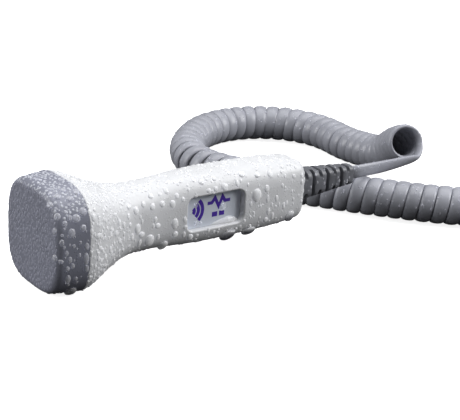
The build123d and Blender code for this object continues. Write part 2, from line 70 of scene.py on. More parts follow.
# Where the cord lies, in millimetres: the flat lead, the axis of the coil, the flat tail
LEAD_ROUTE = (
    (77.2, 0.0, 21.0), (87.8, 0.0, 21.0), (99.3, 2.2, 19.9), (110.3, 5.4, 18.7),
    (120.8, 8.9, 17.4), (126.8, 12.1, 15.9), (131.3, 14.9, 14.7), (134.4, 16.6, 15.0),
    (136.4, 17.8, 16.8),
)
COIL_ROUTE = (
    (131.1, 21.7, 21.0), (134.17, 30.2, 18.07), (134.5, 39.0, 9.6), (132.5, 52.0, 8.5),
    (130.8, 64.0, 8.5), (132.8, 77.0, 8.5), (131.3, 90.0, 8.5), (122.8, 103.5, 8.5),
    (110.3, 111.5, 8.5), (94.8, 114.0, 8.5), (78.8, 110.5, 8.5), (63.8, 100.0, 8.5),
    (51.8, 86.0, 8.5), (46.8, 69.0, 8.5), (51.8, 51.0, 8.5), (62.8, 34.0, 8.5),
    (75.8, 18.5, 8.5), (84.8, 6.0, 8.5), (94.8, -6.0, 8.5), (106.3, -19.0, 8.5),
    (119.3, -31.0, 8.5), (132.8, -41.0, 8.5), (148.8, -44.5, 8.5), (163.8, -39.0, 8.5),
)
TAIL_ROUTE = (
    (194.3, -19.5, 1.3), (205.3, -8.5, 1.3), (217.8, -1.5, 3.4), (229.8, 2.0, 6.9),
    (238.8, 2.0, 6.9),
)

# How the coil is wound: points read between two control points of the axis and of the cord,
# places along the axis, how many its bend is averaged over, where the turns spread and over
# what length, in metres, how much a bend spreads them, and the angles at the axis's start, the
# first point and the last
AXIS_DETAIL, CORD_DETAIL = 16, 3
AXIS_PLACES = 2400
BEND_WINDOW = 81
SPREAD_FROM, SPREAD_OVER = 0.02, 0.05
BEND_SPREAD = 0.3
START_ANGLE, FIRST_ANGLE, LAST_ANGLE = radians(-90), radians(-15), radians(180)

# How the cord leaves the coil: metres along the axis, shares of the coil's radius to the right
# and down, and how far the cord's thin side faces right and down
OPEN_OUT = (
    (0.004, -0.80, 0.62, -0.75, 0.66), (0.011, -0.35, 0.97, -0.3, 0.95),
    (0.021, -0.05, 0.97, 0.0, 1.0),
)
LEAD_TWIST = 1.2  # power by which the lead's turn towards the ring sets in late
BESIDE = 0.002  # from the cord's line to the line beside it, in metres

# Large drops: place along the probe and angle round it from the label side up, in millimetres
# and degrees, then the radius and the length over the width
CAP_DROPS = (
    (-69.9, 62.9, 1.09, 1.21), (-66.1, 56.7, 1.26, 1.36), (-73.7, 56.2, 1.58, 0.81),
    (-69.7, 50.9, 1.59, 0.72), (-76.9, 51.4, 1.56, 0.71), (-71.1, 45.2, 0.56, 1.05),
    (-75.9, 44.9, 0.62, 1), (-66.8, 36.7, 1.47, 1.06), (-73, 39.5, 0.86, 0.98),
    (-76.2, 37.7, 1.19, 1.16), (-69.7, 32.2, 1.62, 0.95), (-74, 29.9, 0.9, 1.12),
    (-67.4, 22.6, 1.14, 1.1), (-74.4, 24.8, 0.49, 0.97), (-71.8, 19.8, 1.36, 1.23),
    (-77.1, 24.6, 1.06, 1.23), (-75.4, 19, 0.57, 1.05), (-75.5, 11.4, 0.85, 1.48),
    (-66.1, 3.6, 0.98, 1.51), (-74.6, 5.9, 0.49, 1.33), (-73.7, -1.1, 0.72, 1.61),
    (-72.4, -8.7, 0.8, 1.66), (-77.1, -7.3, 1.2, 1.1), (-66.3, -9.4, 1.2, 2.04),
    (-75.7, -9.8, 0.92, 0.88), (-65.9, -19.3, 0.88, 1.72), (-72.6, -29.9, 1.14, 1.73),
    (-69.3, -48.7, 2.29, 1.51),
)
HOUSING_DROPS = (
    (-62.9, 30, 1.07, 1.44), (-42.5, 39, 1.32, 0.92), (-39.1, 32.2, 1.45, 1.12),
    (-35.2, 39.9, 1.07, 1.22), (-30.9, 51.3, 1.28, 0.97), (-31.2, 33.8, 1.32, 1.12),
    (-26.7, 51.2, 0.87, 0.89), (-23.5, 55.3, 1.23, 1.17), (-26.4, 35.3, 1.29, 1.02),
    (-21.6, 32, 1.36, 1.1), (-19.4, 43.7, 0.95, 1.23), (-16.8, 36.2, 0.95, 1.11),
    (-20.3, -11.4, 1.59, 1.42), (-38.4, -1.3, 1.6, 1.36), (-36.2, -15.4, 1.46, 0.84),
    (-32.1, -31.6, 2.22, 1.13), (-29.8, 8.4, 0.94, 1.3), (-28.6, -6.2, 1.34, 0.83),
    (-19.8, -33.5, 1.39, 0.96), (-27.9, -31, 0.84, 1.61), (-24, -54.3, 2.11, 1.3),
    (-15.8, -6.1, 0.96, 1.3), (-15.2, -23.2, 1.06, 0.93), (-15.6, -37.1, 0.88, 1.57),
    (-12.5, -42.9, 1.23, 0.94), (-43.4, 24.7, 0.94, 1.4), (-48.8, 19.2, 0.93, 1.57),
    (-46.2, 14.1, 0.87, 1.54), (-42.6, 10.8, 0.89, 1.21), (-41.2, -12.8, 1.05, 1.47),
    (-36.8, -31.1, 0.95, 1.82), (18.5, 17, 2.29, 1.23), (2.9, 42.2, 1.62, 1),
    (-1.5, 42.3, 1.09, 1.05), (-4.7, 41.3, 1.08, 0.84), (-1, 57.5, 1.1, 0.97),
    (-7.1, 56.3, 1.53, 0.82), (9.1, 44.2, 0.89, 1.66), (12.3, 56.9, 1.65, 0.94),
    (19.5, 50.9, 1.45, 0.86), (25.8, 48.6, 1.3, 1.33), (23.5, 26.1, 1.27, 1.21),
    (28.9, 0.9, 0.9, 1.58), (24.2, 4.3, 0.87, 2.2), (25.1, -23.5, 0.92, 1.77),
    (31.7, 25.7, 0.65, 1.62), (-12.3, -44.2, 1.33, 1.12), (24.3, -38.9, 1.29, 0.97),
    (27.5, -35, 0.94, 1.89),
)
HANGING_DROPS = (
    (7.3, -58.4, 3.2, 1.27), (17.6, -57.6, 3.2, 0.86), (37.7, -45.7, 2.61, 1.01),
)
FILM_DROPS = (
    (3.8, 1.1, 1.62, 1.07), (-9.2, 18.9, 0.81, 1.49), (-8.7, -30.7, 0.82, 1.29),
    (-6.4, -31.2, 0.58, 0.88),
)
LARGE_HEIGHT, LARGE_SAG = 0.46, 0.18  # over the radius
LARGE_SIDES, SMALL_SIDES = 18, 9

# Rings of a drop from its foot up: share of the radius, share of the height
SMALL_RINGS = ((1.0, -0.16), (0.97, 0.22), (0.78, 0.66), (0.42, 0.93))
LARGE_RINGS = (
    (1.0, -0.14), (0.99, 0.12), (0.94, 0.36), (0.84, 0.58), (0.69, 0.77), (0.49, 0.91),
    (0.25, 0.98),
)
FLAT_GROUND = 0.05  # steepness under which a drop points to the tail
NO_DROPS = (np.zeros((0, 3)), np.zeros(0))

# Scattering: draws for each drop, how close two may lie as a share of their radii, and how far
# out a ray starts that looks out of a place or back to the axis, in metres
DRAWS_A_DROP = 9
CLOSEST = 0.95
LOOK_OUT, LOOK_BACK = 0.0001, 0.05

# Where drops lie, in metres along the probe: the face's edge, the ends of the flare, the neck
# and the fine drops, how these thin out, and the label's recess by its half sizes
FACE_EDGE = -0.0752
FLARE_END, NECK_END = -0.046, -0.012
FINE_END, FINE_FADE = -0.034, 0.012
RECESS_MIDDLE, RECESS_HALF_LENGTH, RECESS_HALF_HEIGHT = -0.0007, 0.0138, 0.0072

# Finishes of the water: clearness, roughness, colour that looks up, colour that looks down; the
# two colours are painted light and shade, set by the way a drop's surface faces
WATER_LOOKS = {
    # Clear drops, drops on white and drops on grey get painted light at their foot; drops on the
    # face, hanging drops and drops on top get painted shade there
    "Clear drops": (0.55, 0.11, (0.68, 0.69, 0.73), (1.0, 1.0, 1.0)),
    "Drops on white": (0.18, 0.2, (0.82, 0.83, 0.85), (1.0, 1.0, 1.0)),
    "Drops on the face": (0.2, 0.4, (0.40, 0.41, 0.49), (0.30, 0.31, 0.38)),
    "Hanging drops": (0.25, 0.1, (0.8, 0.81, 0.83), (0.2, 0.2, 0.22)),
    "Drops on grey": (0.5, 0.22, (0.60, 0.61, 0.66), (0.8, 0.81, 0.85)),
    "Drops on top": (0.15, 0.35, (0.62, 0.64, 0.70), (0.55, 0.57, 0.63)),
}
# Drops are painted lighter or darker as their surface turns to this way: painted light or shade
# at their foot
LIT_FOOT = (0.35, 0.0, -0.93)  # the way that the lit foot of a drop faces
WATER_IOR = 1.33

# Pooled water: share of the label's length where it starts, gap to the label's end, steps
# along it and round its section, greatest reach and rise, in metres
POOL_START, POOL_GAP = 0.44, 0.0004
POOL_STEPS, POOL_ARC = 28, 7
POOL_REACH, POOL_RISE = 0.0017, 0.0026

# The print, in millimetres from the label's middle: sound waves, a pulse line, two bars
WAVE_MIDDLE, WAVE_HALF_TURN, WAVE_WIDTH = (-10.6, 0.5), 48, 1.55
WAVE_RADII = (1.5, 3.5, 5.5)
PULSE = (
    (-2.8, 2.6), (-0.7, 2.6), (0.7, 4.5), (2.7, 0.7), (4.4, 4.5), (5.6, 2.6), (8.2, 2.6),
)
PULSE_WIDTH = 1.4
BARS = (((-0.4, -2.4), (2.2, -2.4)), ((3.0, -2.4), (5.6, -2.4)))
BAR_WIDTH = 2.0
INK_UNDER, INK_OVER = 0.02, 0.03  # how deep the ink lies in the film and how far it stands out

# Finishes inside: colour, roughness, metallic, nodes
INSIDE_LOOKS = {
    "Silvered ceramic": (
        (0.60, 0.54, 0.43), 0.4, 0.0, ("transmit_crystal", "receive_crystal"),
    ),
    "Backing foam": ((0.05, 0.05, 0.055), 0.8, 0.0, ("transmit_backing", "receive_backing")),
    "Divider": ((0.06, 0.04, 0.025), 0.7, 0.0, ("crystal_divider",)),
    "Brass": ((0.70, 0.50, 0.20), 0.3, 1.0, ("screening_cup", "plug_pins")),
    "Carrier plastic": ((0.02, 0.02, 0.022), 0.5, 0.0, ("crystal_carrier",)),
    "Wire jacket": (
        (0.02, 0.02, 0.025), 0.5, 0.0, ("transmit_coax", "receive_coax", "cord_cores"),
    ),
    "Board laminate": ((0.01, 0.09, 0.035), 0.3, 0.0, ("circuit_board",)),
    "Ferrite": ((0.03, 0.03, 0.03), 0.6, 0.0, ("tuning_coils",)),
    "Chip plastic": ((0.012, 0.012, 0.013), 0.45, 0.0, ("amplifier_chip",)),
    "Tinned steel": (
        (0.6, 0.6, 0.6), 0.35, 1.0, ("screening_can", "cord_ferrule", "retaining_clip"),
    ),
    "Capacitor body": ((0.25, 0.16, 0.08), 0.5, 0.0, ("board_capacitors",)),
    "Connector plastic": ((0.68, 0.65, 0.55), 0.45, 0.0, ("cord_header", "cord_socket")),
}

# Square lights: name, place, what they face and side, in metres, and the power's setting
LIGHTS = (
    ("key", (0.15, 0.1, 1.15), (0.03, 0.0, 0.0), 1.3, "key_power"),
    ("front", (1.05, -0.75, 0.9), (0.0, 0.0, 0.02), 0.9, "front_power"),
    ("left", (-1.15, 0.55, 0.5), (0.0, 0.0, 0.02), 0.8, "left_power"),
)
FLOOR_REACH = 6.0

# The photograph's view, and the lens and sensor in millimetres
CAMERA_PLACE = (
    (0.80441708, 0.16449984, -0.57083532, -0.302341),
    (-0.59125876, 0.31498199, -0.74242806, -0.411371),
    (0.05767355, 0.9347332, 0.35063887, 0.209422),
    (0.0, 0.0, 0.0, 1.0),
)
CAMERA_LENS, CAMERA_SENSOR = 106.73, 36.0


def put(name, data):
    """A new object with this data, in the scene."""
    piece = bpy.data.objects.new(name, data)
    bpy.context.scene.collection.objects.link(piece)
    return piece


def mesh_piece(name, points, faces, material, smooth=True):
    """A closed mesh of these points and faces, riding on the probe's one body."""
    mesh = bpy.data.meshes.new(name)
    mesh.from_pydata(points.tolist(), [], faces, shade_flat=not smooth)
    piece = put(name, mesh)
    mesh.materials.append(material)
    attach(piece, "root")
    return piece


def threes(things, field, kind=float):
    """Three numbers of each thing, such as the places of vertices."""
    values = np.empty(len(things) * 3, kind)
    things.foreach_get(field, values)
    return values.reshape(-1, 3)


def spline_points(control, resolution):
    """Points along the smooth NURBS line of order 3 that these control points steer."""
    curve = bpy.data.curves.new("route", "CURVE")
    curve.dimensions = "3D"
    spline = curve.splines.new("NURBS")
    spline.points.add(len(control) - 1)
    four = np.column_stack([control, np.ones(len(control))])
    spline.points.foreach_set("co", four.ravel())
    spline.order_u = 3
    spline.use_endpoint_u = True
    spline.resolution_u = resolution
    holder = put("route", curve)
    bpy.context.view_layer.update()
    read = bpy.data.meshes.new_from_object(holder)
    line = threes(read.vertices, "co")
    bpy.data.objects.remove(holder)
    bpy.data.curves.remove(curve)
    bpy.data.meshes.remove(read)
    return line


def unit(rows):
    """Each row divided by its length."""
    return rows / np.maximum(np.linalg.norm(rows, axis=1, keepdims=True), 1e-12)


def along(line):
    """Distance from the start of a line to each of its points."""
    steps = np.linalg.norm(np.diff(line, axis=0), axis=1)
    return np.concatenate([[0.0], np.cumsum(steps)])


def read_along(at, place, rows):
    """Rows read off at distances along a line, straight between the places they belong to."""
    return np.column_stack([np.interp(at, place, rows[:, k]) for k in range(3)])


def superellipse(count, power):
    """A circle of count points, cosine and sine raised to 2 over the power, signs kept."""
    angle = 2 * np.pi * np.arange(count) / count
    circle = np.column_stack([np.cos(angle), np.sin(angle)])
    return np.sign(circle) * np.abs(circle) ** (2.0 / power)


def tube_faces(rings, count):
    """Quads between neighbouring rings, and one many-sided face at each end."""
    start = (np.arange(rings - 1) * count)[:, None]
    here = np.arange(count)[None, :]
    after = (here + 1) % count
    quads = np.stack([
        start + here, start + count + here, start + count + after, start + after,
    ], axis=-1).reshape(-1, 4)
    ends = [list(range(count)), list(range((rings - 1) * count, rings * count))[::-1]]
    return quads.tolist() + ends


def fill(tree, node, **sockets):
    """Set or link a node's inputs, named with _ for a space, or _0, _1 by their place."""
    for name, value in sockets.items():
        socket = node.inputs[int(name[1:]) if name[0] == "_" else name.replace("_", " ")]
        if isinstance(value, bpy.types.NodeSocket):
            tree.links.new(value, socket)
        else:
            socket.default_value = value
    return node


def add(tree, kind, settings=None, **sockets):
    """A new shader node with these settings and inputs."""
    made = tree.nodes.new("ShaderNode" + kind)
    for name, value in (settings or {}).items():
        setattr(made, name, value)
    return fill(tree, made, **sockets)


def calc(tree, operation, *values, clamp=False):
    """The result of one sum or comparison."""
    sockets = {f"_{k}": value for k, value in enumerate(values)}
    return add(tree, "Math", {"operation": operation, "use_clamp": clamp}, **sockets).outputs[0]


def ranged(tree, value, low, high, to_low, to_high):
    """Value moved from one range to another, smoothly."""
    return add(
        tree, "MapRange", {"interpolation_type": "SMOOTHSTEP"},
        Value=value, From_Min=low, From_Max=high, To_Min=to_low, To_Max=to_high,
    ).outputs[0]


def mixed(tree, value, low, high, first, second):
    """Colour that goes from one to another while a value goes from low to high."""
    share = ranged(tree, value, low, high, 0.0, 1.0)
    return add(
        tree, "Mix", {"data_type": "RGBA"}, _0=share, _6=(*first, 1), _7=(*second, 1)
    ).outputs[2]


def new_group(name, inputs, outputs):
    """An empty shader group: a vector input, number inputs with defaults, number outputs."""
    tree = bpy.data.node_groups.new(name, "ShaderNodeTree")
    tree.interface.new_socket("Vector", in_out="INPUT", socket_type="NodeSocketVector")
    for label, default in inputs.items():
        socket = tree.interface.new_socket(label, in_out="INPUT", socket_type="NodeSocketFloat")
        socket.default_value = default
    for label in outputs:
        tree.interface.new_socket(label, in_out="OUTPUT", socket_type="NodeSocketFloat")
    given, out = tree.nodes.new("NodeGroupInput"), tree.nodes.new("NodeGroupOutput")
    return tree, given.outputs, out.inputs


def moulded_grain():
    """Group: fine spark texture of moulded plastic, with a slow cloudy variation of tone."""
    name = "Moulded grain"
    if name in bpy.data.node_groups:
        return bpy.data.node_groups[name]
    tree, given, out = new_group(
        name, {"Grains per metre": 2600.0, "Cloud per metre": 38.0}, ("Height", "Cloud")
    )
    for scale, detail, roughness, output in (
        ("Grains per metre", 3.0, 0.6, "Height"), ("Cloud per metre", 2.0, 0.5, "Cloud"),
    ):
        noise = add(tree, "TexNoise", Vector=given["Vector"], Scale=given[scale],
                    Detail=detail, Roughness=roughness)
        tree.links.new(noise.outputs[0], out[output])
    return tree


def fine_beads():
    """Group: beads of water too small to model, as domes in the cells of a cell pattern.

    A bead's radius is drawn from 0.2 to 0.44 of its cell, and its height is the radius times
    the root of 1 less the square of the distance over the radius.
    """
    name = "Fine water beads"
    if name in bpy.data.node_groups:
        return bpy.data.node_groups[name]
    tree, given, out = new_group(
        name, {"Beads per metre": 900.0, "Cover": 0.6}, ("Height", "Mask")
    )
    cells = add(tree, "TexVoronoi", Vector=given["Vector"], Scale=given["Beads per metre"])
    parts = add(tree, "SeparateColor", Color=cells.outputs["Color"])
    radius = calc(tree, "MULTIPLY_ADD", parts.outputs[0], 0.24, 0.2)
    there = calc(tree, "LESS_THAN", parts.outputs[1], given["Cover"])
    share = calc(tree, "DIVIDE", cells.outputs["Distance"], radius)
    inside = calc(tree, "SUBTRACT", 1.0, calc(tree, "MULTIPLY", share, share), clamp=True)
    dome = calc(tree, "MULTIPLY", calc(tree, "SQRT", inside), radius)
    height = calc(tree, "MULTIPLY", dome, there)
    mask = calc(tree, "MULTIPLY", calc(tree, "GREATER_THAN", inside, 0.02), there)
    tree.links.new(height, out["Height"])
    tree.links.new(mask, out["Mask"])
    return tree


def start_material(name):
    """A material with its shader, and the tree and the shader to work on."""
    material = bpy.data.materials.new(name)
    material.use_nodes = True
    tree = material.node_tree
    return material, tree, tree.nodes["Principled BSDF"]


def place_of(tree):
    """Object coordinates."""
    return add(tree, "TexCoord").outputs["Object"]


def shade(colour, share):
    """A colour darkened to a share."""
    return tuple(share * c for c in colour)


def plastic(name, colour, darker, roughness, grain=2600.0, grain_depth=0.00002, beads=None,
            metallic=0.0):
    """Moulded plastic, rubber or metal: cloudy tone, spark grain and, if given, water beads.

    beads is (beads per metre, cover, height in metres) of the fine water on it.
    """
    material, tree, shader = start_material(name)
    place = place_of(tree)
    surface = add(tree, "Group", {"node_tree": moulded_grain()}, Vector=place,
                  Grains_per_metre=grain)
    cloud = surface.outputs["Cloud"]
    tone = mixed(tree, cloud, 0.35, 0.65, darker, colour)
    rough = ranged(tree, cloud, 0.3, 0.7, roughness - 0.05, roughness + 0.05)
    bump = add(tree, "Bump", Distance=grain_depth, Height=surface.outputs["Height"])
    if beads:
        per_metre, cover, depth = beads
        wet = add(tree, "Group", {"node_tree": fine_beads()}, Vector=place,
                  Beads_per_metre=per_metre, Cover=cover)
        smoother = calc(tree, "MULTIPLY_ADD", wet.outputs["Mask"], -0.3, 1.0)
        rough = calc(tree, "MULTIPLY", rough, smoother)
        bump = add(tree, "Bump", Distance=depth, Height=wet.outputs["Height"],
                   Normal=bump.outputs[0])
    fill(tree, shader, Base_Color=tone, Roughness=rough, Normal=bump.outputs[0],
         Metallic=metallic)
    return material


def water(name, clearness, roughness, upper, lower):
    """Water that lets light through to what it lies on.

    A drop is a lens: light from above gathers at its foot. Its colour is painted light and shade:
    the parts of its surface that look down are the lower colour and those that look up are the
    upper colour. Where the lower colour is the lighter, it is painted light gathered at the foot;
    where it is the darker, it is painted shade under the drop.
    """
    material, tree, shader = start_material(name)
    place = place_of(tree)
    noise = add(tree, "TexNoise", Vector=place, Scale=420.0, Detail=1.0)
    rough = ranged(tree, noise.outputs[0], 0.3, 0.7, 0.6 * roughness, 1.6 * roughness)
    facing = add(
        tree, "VectorMath", {"operation": "DOT_PRODUCT"},
        _0=add(tree, "NewGeometry").outputs["Normal"], _1=LIT_FOOT,
    )
    # Painted light and shade: the colour follows the way the surface faces, lighter or darker
    # towards the drop's foot
    tone = mixed(tree, facing.outputs["Value"], -0.3, 0.55, upper, lower)
    fill(tree, shader, Base_Color=tone, Roughness=rough, IOR=WATER_IOR,
         Transmission_Weight=clearness)
    clear = add(tree, "BsdfTransparent", Color=(0.9, 0.9, 0.92, 1))
    shadow = add(tree, "LightPath").outputs["Is Shadow Ray"]
    blend = add(tree, "MixShader", _0=shadow, _1=shader.outputs[0], _2=clear.outputs[0])
    fill(tree, tree.nodes["Material Output"], Surface=blend.outputs[0])
    return material


def rounded(node, name, width, material):
    """A copy of a CAD node with its sharp edges rounded, standing for it."""
    mesh = bpy.data.meshes.new(name)
    shape = bmesh.new()
    shape.from_mesh(frame["nodes"][node].data)
    bmesh.ops.remove_doubles(shape, verts=shape.verts, dist=1e-6)
    bmesh.ops.dissolve_limit(
        shape, angle_limit=radians(2), verts=shape.verts, edges=shape.edges
    )
    shape.to_mesh(mesh)
    shape.free()
    piece = put(name, mesh)
    mesh.materials.append(material)
    mesh.polygons.foreach_set("use_smooth", [True] * len(mesh.polygons))
    bevel = piece.modifiers.new("Rounded edges", "BEVEL")
    bevel.width = width
    bevel.segments = 2
    bevel.limit_method = "ANGLE"
    bevel.angle_limit = radians(35)
    bevel.harden_normals = True
    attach(piece, "root")
    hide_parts(node)


def dress(material, *nodes):
    """Give CAD nodes this material."""
    for node in nodes:
        materials = frame["nodes"][node].data.materials
        materials.clear()
        materials.append(material)


class CordSettings(bpy.types.PropertyGroup):
    """Sizes and colour of the flat cord and its coil."""

    width: FloatProperty(
        name="Cord width", description="Broad side of the flat cord", default=0.0061,
        unit="LENGTH",
    )
    thickness: FloatProperty(
        name="Cord thickness", description="Thin side of the flat cord", default=0.00235,
        unit="LENGTH",
    )
    squareness: FloatProperty(
        name="Edge power", description="How square the cord's edges are", default=2.15
    )
    coil_radius: FloatProperty(
        name="Coil radius", description="Axis of the coil to the cord", default=0.00742,
        unit="LENGTH",
    )
    pitch: FloatProperty(
        name="Pitch", description="From one turn to the next", default=0.0060, unit="LENGTH"
    )
    pressed: FloatProperty(
        name="Pressed", description="Share of the pitch left by the lead", default=0.62
    )
    turn_points: IntProperty(
        name="Points a turn", description="Control points in each turn", default=18
    )
    outline_points: IntProperty(
        name="Outline points", description="Points round the section", default=14
    )
    colour: FloatVectorProperty(
        name="Cord colour", description="Grey of the jacket", subtype="COLOR",
        default=(0.38, 0.39, 0.44),
    )


class FinishSettings(bpy.types.PropertyGroup):
    """Colours of the probe's own pieces."""

    cap: FloatVectorProperty(
        name="Cap", description="Grey of the front cap", subtype="COLOR",
        default=(0.265, 0.275, 0.34),
    )
    housing: FloatVectorProperty(
        name="Housing", description="White of the housing", subtype="COLOR",
        default=(0.735, 0.745, 0.77),
    )
    relief: FloatVectorProperty(
        name="Strain relief", description="Dark grey of the rubber", subtype="COLOR",
        default=(0.155, 0.16, 0.18),
    )
    film: FloatVectorProperty(
        name="Label film", description="Blue grey of the label", subtype="COLOR",
        default=(0.71, 0.755, 0.85),
    )
    print_ink: FloatVectorProperty(
        name="Print", description="Purple of the printed signs", subtype="COLOR",
        default=(0.09, 0.04, 0.42),
    )


class WaterSettings(bpy.types.PropertyGroup):
    """How wet the probe is."""

    seed: IntProperty(name="Seed", description="Draws another set of drops", default=7)
    face_drops: IntProperty(
        name="Drops on the face", description="Small drops on the face", default=1100
    )
    cap_drops: IntProperty(
        name="Drops on the cap", description="Drops round the cap's side", default=210
    )
    shell_drops: IntProperty(
        name="Drops on the housing", description="Drops on the housing", default=2300
    )
    cord_drops: IntProperty(
        name="Drops on the cord", description="Tiny drops on the cord", default=1100
    )
    flare_drops: IntProperty(
        name="Drops on the flare", description="Fine drops by the cap", default=1900
    )
    top_drops: IntProperty(
        name="Drops on the cap's top", description="Fine drops on top", default=900
    )
    relief_drops: IntProperty(
        name="Drops on the relief", description="Drops on the rubber", default=110
    )


class StageSettings(bpy.types.PropertyGroup):
    """Floor and light."""

    floor_colour: FloatVectorProperty(
        name="Floor", description="Colour of the floor", subtype="COLOR",
        default=(0.93, 0.93, 0.94),
    )
    bounce: FloatProperty(
        name="Bounce", description="How much light the floor throws back up", default=0.05
    )
    lift: FloatProperty(name="Lift", description="Glow that keeps the floor white", default=0.85)
    key_power: FloatProperty(
        name="Key light", description="Power of the light overhead", default=12.2, unit="POWER"
    )
    front_power: FloatProperty(
        name="Front light", description="Power of the light in front", default=19.4, unit="POWER"
    )
    left_power: FloatProperty(
        name="Left light", description="Power of the light on the face", default=10.3,
        unit="POWER",
    )
    surround: FloatProperty(
        name="Surround", description="Strength of the white surround", default=0.12
    )


class ProbeSettings(bpy.types.PropertyGroup):
    """Everything that can be changed."""

    cord: PointerProperty(type=CordSettings)
    finish: PointerProperty(type=FinishSettings)
    water: PointerProperty(type=WaterSettings)
    stage: PointerProperty(type=StageSettings)


def coil_control(settings):
    """Control points of the helix and the outward direction at each.

    A point goes round the coil's axis at the coil's radius, and one pitch along it in every
    turn. The turns are pressed together near the lead, reach the full pitch by a smooth step,
    and spread a little where the axis bends.
    Returns the points and their outward directions, then the axis's heading, its right side
    and its place at the last point.
    """
    axis = spline_points(np.array(COIL_ROUTE) * MM, AXIS_DETAIL)
    run = along(axis)
    place = np.linspace(0.0, run[-1], AXIS_PLACES)
    axis = read_along(place, run, axis)
    ahead = unit(np.gradient(axis, place, axis=0))
    bend = np.linalg.norm(np.gradient(ahead, place, axis=0), axis=1)
    bend = np.convolve(bend, np.ones(BEND_WINDOW) / BEND_WINDOW, mode="same")
    radius = settings.coil_radius
    spread = np.clip((place - SPREAD_FROM) / SPREAD_OVER, 0, 1)
    pressed = settings.pressed + (1 - settings.pressed) * spread * spread * (3 - 2 * spread)
    pitch = settings.pitch * pressed * (1 + BEND_SPREAD * radius * bend)
    turns = np.concatenate([[0.0], np.cumsum(np.diff(place) / pitch[1:])])
    angle = START_ANGLE + 2 * np.pi * turns
    last = angle[-1] - (angle[-1] - LAST_ANGLE) % (2 * np.pi)
    wanted = np.arange(FIRST_ANGLE, last, 2 * np.pi / settings.turn_points)
    at = np.interp(wanted, angle, place)
    middle = read_along(at, place, axis)
    heading = unit(read_along(at, place, ahead))
    right = unit(np.cross(heading, [0.0, 0.0, 1.0]))
    up = np.cross(right, heading)
    outward = np.cos(wanted)[:, None] * right + np.sin(wanted)[:, None] * up
    return middle + radius * outward, outward, heading[-1], right[-1], middle[-1]


def cord_lines(settings):
    """The cord's whole line, exit to plug, and a line a little beside it.

    The second line lies where the cord's thin side faces: out of the coil, and to the label
    side where the lead starts. Before the coil's first point its outward direction is turned
    back step by step: each is twice the cosine of a step times the one after it, less the one
    after that. The lead mixes the two by its place, raised to a power.
    """
    helix, outward, heading, right, middle = coil_control(settings)
    lead = np.array(LEAD_ROUTE) * MM
    step = 2 * np.cos(2 * np.pi / settings.turn_points)
    turned = [outward[1], outward[0]]
    for _ in range(3):
        turned.append(step * turned[-1] - turned[-2])
    end_out = np.array([turned[4]] * (len(lead) - 2) + [turned[3], turned[2]])
    share = (np.linspace(0, 1, len(lead)) ** LEAD_TWIST)[:, None]
    lead_out = unit((1 - share) * np.array([[0.0, -1.0, 0.0]]) + share * end_out)
    low = np.array([0.0, 0.0, -1.0])
    ahead, to_right, down, right_faced, down_faced = np.array(OPEN_OUT).T[:, :, None]
    open_out = middle + ahead * heading + settings.coil_radius * (to_right * right + down * low)
    open_dirs = unit(right_faced * right + down_faced * low)
    tail = np.array(TAIL_ROUTE) * MM
    control = np.vstack([lead, helix, open_out, tail])
    dirs = np.vstack([lead_out, outward, open_dirs, np.tile(low, (len(tail), 1))])
    line = spline_points(control, CORD_DETAIL)
    beside = spline_points(control + BESIDE * dirs, CORD_DETAIL)
    keep = np.diff(along(line), prepend=-1) > 1e-6
    return line[keep], beside[keep]


def make_cord(settings, material):
    """Flat cord: a superellipse carried along its line, thin side facing out of the coil."""
    line, beside = cord_lines(settings)
    ahead = unit(np.gradient(line, axis=0))
    thin = beside - line
    thin = unit(thin - (thin * ahead).sum(1, keepdims=True) * ahead)
    broad = np.cross(ahead, thin)
    outline = superellipse(settings.outline_points, settings.squareness)
    outline *= settings.width / 2, settings.thickness / 2
    points = (
        line[:, None, :] + outline[None, :, :1] * broad[:, None, :]
        + outline[None, :, 1:] * thin[:, None, :]
    ).reshape(-1, 3)
    piece = mesh_piece(
        "cord", points, tube_faces(len(line), settings.outline_points), material
    )
    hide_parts("lead_cord", "curly_cord", "tail_cord")


def surface_of(piece):
    """Corners of a piece's triangles as one array, and a tree to look points up in."""
    mesh = piece.data
    mesh.calc_loop_triangles()
    points = threes(mesh.vertices, "co")
    triangles = threes(mesh.loop_triangles, "vertices", np.int64)
    tree = BVHTree.FromPolygons(points.tolist(), triangles.tolist())
    return points[triangles], tree


def scatter(rng, corners, tree, count, wanted):
    """Points spread evenly by area over the outside of a node, kept by a chance each.

    wanted gives a chance from 0 to 1, or yes or no, for places and outward directions.
    """
    across = np.cross(corners[:, 1] - corners[:, 0], corners[:, 2] - corners[:, 0])
    area = np.linalg.norm(across, axis=1)
    pick = rng.choice(len(area), size=count * DRAWS_A_DROP, p=area / area.sum())
    one, two = rng.random((2, len(pick)))
    flip = one + two > 1
    one[flip], two[flip] = 1 - one[flip], 1 - two[flip]
    first, second, third = corners[pick].transpose(1, 0, 2)
    places = first + one[:, None] * (second - first) + two[:, None] * (third - first)
    normals = unit(across[pick])
    chance = rng.random(len(pick))
    good = chance < wanted(places, normals)
    places, normals = places[good], normals[good]
    seen = np.array([
        tree.ray_cast(Vector(p + LOOK_OUT * n), Vector(n))[0] is None
        for p, n in zip(places, normals)
    ], bool)
    return places[seen][:count], normals[seen][:count]


def apart(places, radii, taken, reach):
    """Which drops stay so that none lies on a bigger one or on those already laid.

    taken and reach are the places and radii of the drops already laid.
    """
    kept = []
    for k in np.argsort(-radii):
        if len(taken):
            gap = np.linalg.norm(taken - places[k], axis=1)
            if (gap < CLOSEST * (reach + radii[k])).any():
                continue
        taken = np.vstack([taken, places[k]])
        reach = np.append(reach, radii[k])
        kept.append(k)
    return np.array(kept, int)


